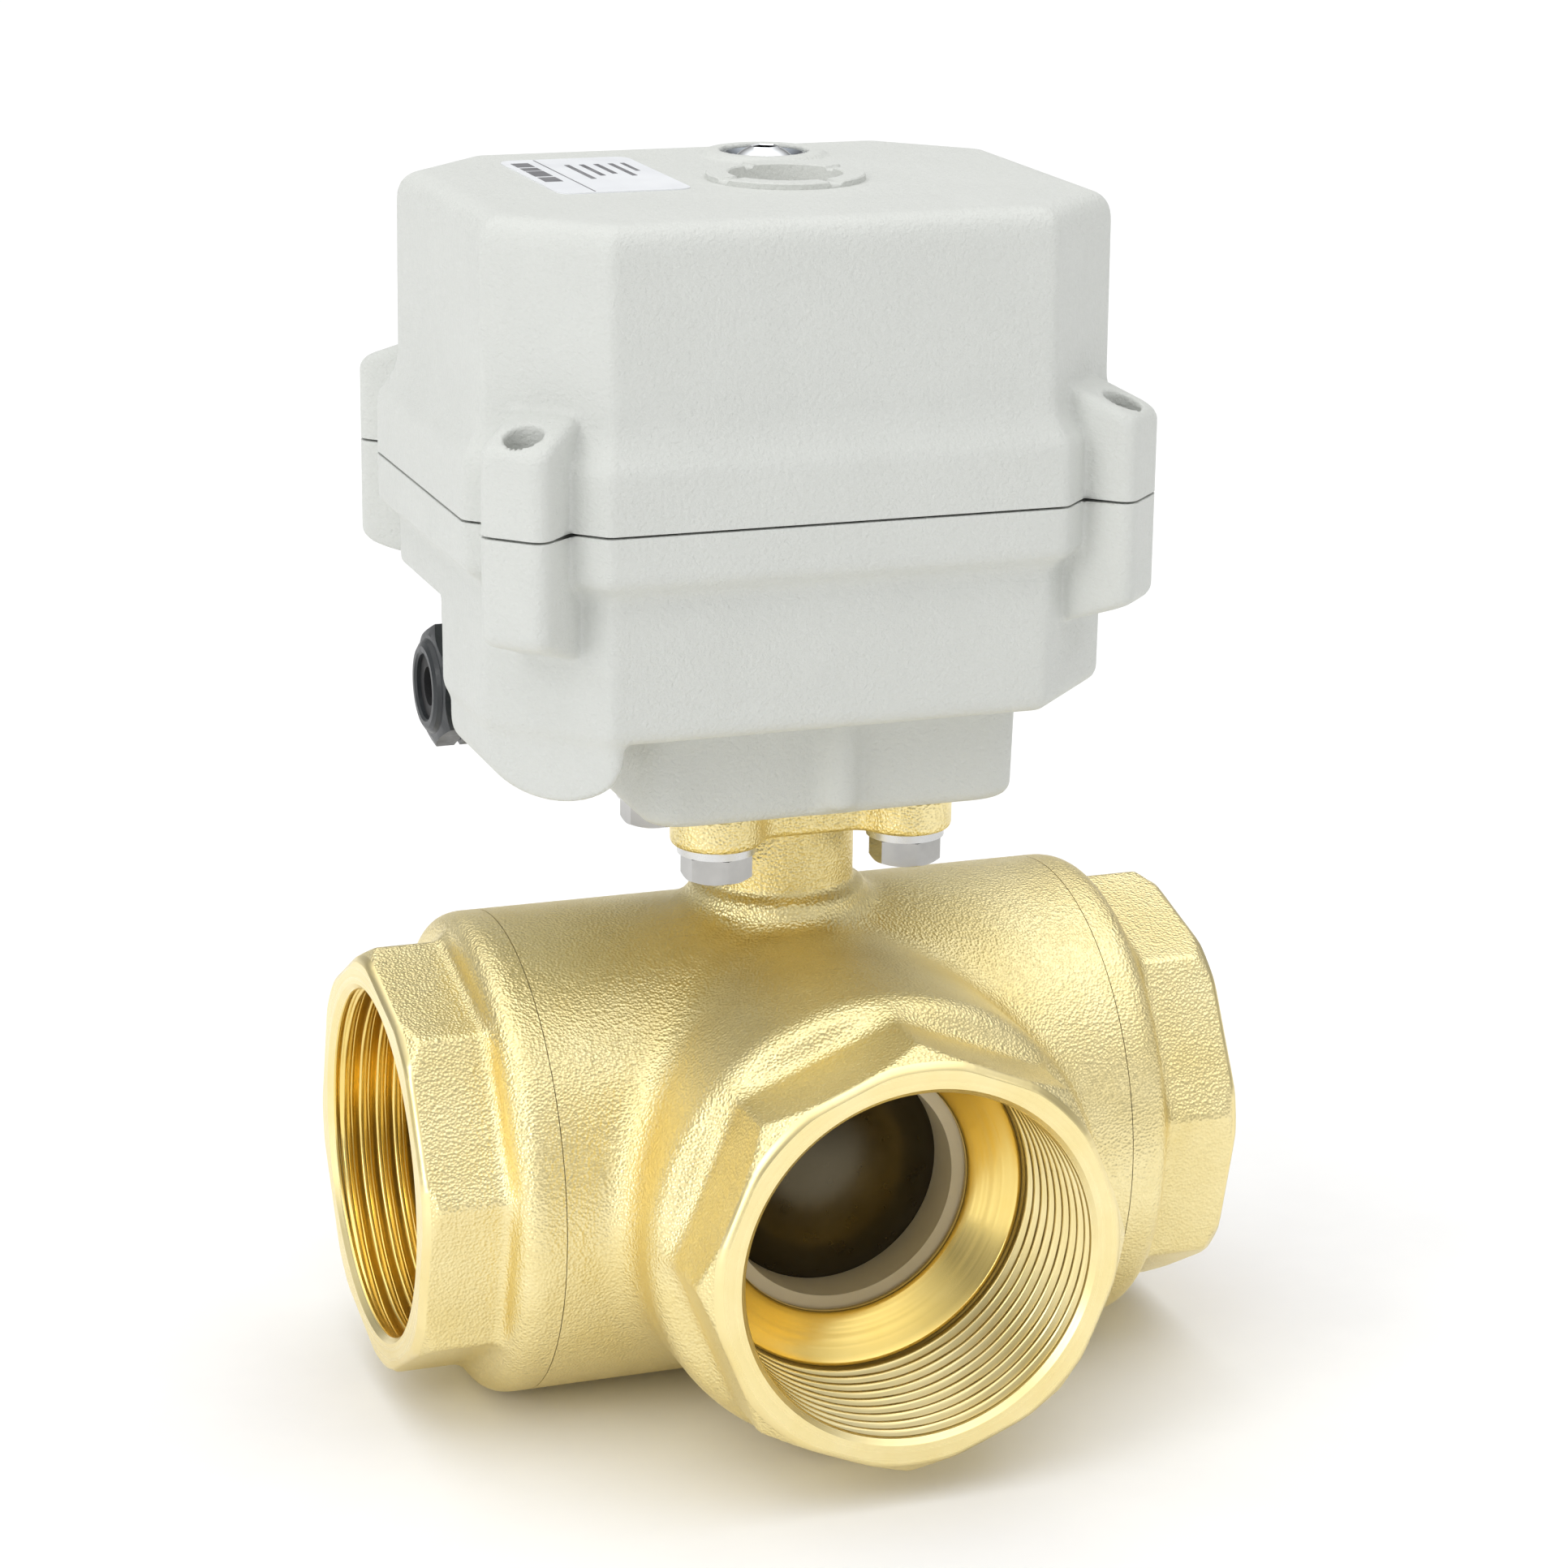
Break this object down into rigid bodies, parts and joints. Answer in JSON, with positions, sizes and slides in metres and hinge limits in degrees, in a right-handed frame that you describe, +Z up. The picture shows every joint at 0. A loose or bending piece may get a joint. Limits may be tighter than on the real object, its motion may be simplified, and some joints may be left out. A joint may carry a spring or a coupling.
{
  "type": "motorized valve actuator",
  "caption": "Three-way brass ball valve with female threaded ports, turned by a boxy light grey quarter-turn electric actuator on its stem.",
  "frame": {"origin": "centre of the branch port's mouth", "axes": "+Z up along the stem, -Y out of the branch port, X along the two in-line ports"},
  "size_m": [0.11, 0.0885, 0.157],
  "materials": {
    "brass": "sand-blasted cast brass",
    "ball": "chromed brass ball",
    "ptfe": "white fluoropolymer",
    "rubber": "black rubber",
    "steel": "bright steel",
    "chrome": "polished chrome",
    "paint": "fine-textured light grey paint on die-cast aluminium",
    "black_plastic": "black moulded plastic",
    "bronze": "sintered bronze",
    "white_plastic": "white moulded plastic",
    "board": "green circuit board",
    "green_plastic": "green moulded plastic",
    "label": "plain printed label"
  },
  "bodies": {
    "housing": {"valve_body": "brass", "end_cap_left": "brass", "end_cap_right": "brass", "seat_branch": "ptfe", "seat_back": "ptfe", "seat_left": "ptfe", "seat_right": "ptfe", "thrust_washer": "ptfe", "body_ring_left": "rubber", "body_ring_right": "rubber", "cover_gasket": "rubber", "gland_seal": "rubber", "mounting_bolts": "steel", "mounting_washers": "steel", "cover_screws": "steel", "lower_plate": "steel", "upper_plate": "steel", "pillars_lower": "steel", "pillars_upper": "steel", "plate_screws": "steel", "idler_pin": "steel", "motor_screws": "steel", "switch_screws": "steel", "board_standoffs": "steel", "gearhead": "steel", "motor_can": "steel", "override_bezel": "chrome", "base": "paint", "cover": "paint", "gland_body": "black_plastic", "gland_nut": "black_plastic", "switch_closed": "black_plastic", "switch_open": "black_plastic", "relay": "black_plastic", "capacitor": "black_plastic", "shaft_bush_lower": "bronze", "shaft_bush_upper": "bronze", "circuit_board": "board", "terminal_block": "green_plastic", "label": "label"},
    "valve_train": {"ball": "ball", "stem": "steel", "stem_ring_lower": "rubber", "stem_ring_upper": "rubber", "output_shaft": "steel", "output_gear": "steel", "cam_closed": "white_plastic", "cam_open": "white_plastic", "indicator": "white_plastic"},
    "idler": {"idler_gear": "steel"},
    "motor_shaft": {"motor_pinion": "steel"},
    "override": {"override_shaft": "chrome", "override_pinion": "steel", "override_ring": "rubber"},
    "switch_lever_closed": {"lever_closed": "steel"},
    "switch_lever_open": {"lever_open": "steel"}
  },
  "joints": [
    {"name": "valve_turn", "type": "hinge", "parent": "housing", "child": "valve_train", "pos_m": [0, 0.054, 0], "axis": [0, 0, 1], "range_deg": [0, 90]},
    {"name": "idler_turn", "type": "hinge", "parent": "housing", "child": "idler", "pos_m": [-0.01507, 0.03966, 0.09], "axis": [0, 0, 1], "range_deg": [-301, 1]},
    {"name": "motor_turn", "type": "hinge", "parent": "housing", "child": "motor_shaft", "pos_m": [-0.0293, 0.04041, 0.09], "axis": [0, 0, 1], "range_deg": [-1, 1126]},
    {"name": "override_turn", "type": "hinge", "parent": "housing", "child": "override", "pos_m": [0.00432, 0.07434, 0.09], "axis": [0, 0, 1], "range_deg": [-301, 1]},
    {"name": "switch_closed_swing", "type": "hinge", "parent": "housing", "child": "switch_lever_closed", "pos_m": [0.01175, 0.045, 0.10375], "axis": [0, 0, 1], "range_deg": [-0.1, 6]},
    {"name": "switch_open_swing", "type": "hinge", "parent": "housing", "child": "switch_lever_open", "pos_m": [0.01175, 0.045, 0.11055], "axis": [0, 0, 1], "range_deg": [-6, 0.1]}
  ],
  "couplings": [
    {"joint": "idler_turn", "follows": "valve_turn", "ratio": -3.3333},
    {"joint": "motor_turn", "follows": "valve_turn", "ratio": 12.5},
    {"joint": "override_turn", "follows": "valve_turn", "ratio": -3.3333},
    {"joint": "switch_closed_swing", "follows": "valve_turn", "ratio": 0.063689},
    {"joint": "switch_open_swing", "follows": "valve_turn", "ratio": -0.063689}
  ]
}
